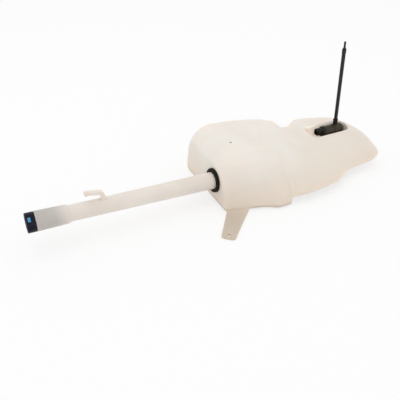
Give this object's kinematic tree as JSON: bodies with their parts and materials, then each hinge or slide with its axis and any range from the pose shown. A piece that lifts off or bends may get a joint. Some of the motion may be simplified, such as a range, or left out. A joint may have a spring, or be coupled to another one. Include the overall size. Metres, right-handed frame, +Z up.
{
  "type": "washer fluid reservoir",
  "caption": "Blow-moulded washer fluid tank with a foot, a long plug-in filler neck with a push-on cap, and an electric pump lying in a trough with its outlet pipe.",
  "frame": {"origin": "axis of the fixing hole in the tank's foot, on the seat plane", "axes": "+X along the tank from the neck end to the nose, +Y to the back, +Z up from the seat plane"},
  "size_m": [0.7909, 0.2823, 0.2711],
  "materials": {
    "tank_plastic": "satin translucent blow-moulded polyethylene",
    "tube_plastic": "satin translucent polyethylene",
    "sleeve_plastic": "satin greyish polyethylene",
    "black_rubber": "soft matt rubber",
    "cap_plastic": "glossy moulded polypropylene",
    "mark_plastic": "glossy coloured inlay",
    "pump_plastic": "satin moulded plastic",
    "pipe_plastic": "smooth extruded pipe",
    "tinned_brass": "tinned",
    "copper": "bright copper",
    "bronze": "sintered bronze",
    "steel": "zinc-plated steel",
    "ferrite": "ground ferrite",
    "board": "pressed board",
    "carbon": "pressed carbon",
    "white_acetal": "moulded acetal"
  },
  "bodies": {
    "reservoir": {"tank": "tank_plastic", "filler_tube": "tube_plastic", "mouth_sleeve": "sleeve_plastic", "neck_grommet": "black_rubber", "shaft_seal": "black_rubber", "pump_grommet": "black_rubber", "pipe_collar": "black_rubber", "pump_case": "pump_plastic", "pump_base": "pump_plastic", "inlet_cover": "pump_plastic", "outlet_pipe": "pipe_plastic", "hose_tip": "pipe_plastic", "terminals": "tinned_brass", "rear_bush": "bronze", "front_bush": "bronze", "motor_can": "steel", "field_magnets": "ferrite", "brush_plate": "board", "brushes": "carbon", "inlet_strainer": "white_acetal"},
    "cap": {"filler_cap": "cap_plastic", "cap_mark": "mark_plastic", "cap_seal": "black_rubber"},
    "rotor": {"motor_shaft": "steel", "armature_core": "steel", "armature_windings": "copper", "commutator": "copper", "impeller": "white_acetal"}
  },
  "joints": [
    {"name": "cap_pull", "type": "slide", "parent": "reservoir", "child": "cap", "axis": [-0.9989, 0, 0.0471], "range_m": [0, 0.06]},
    {"name": "rotor_spin", "type": "hinge", "parent": "reservoir", "child": "rotor", "pos_m": [0.32949, 0.17913, 0.0604], "axis": [0.9997, 0, -0.0262], "continuous": true}
  ]
}
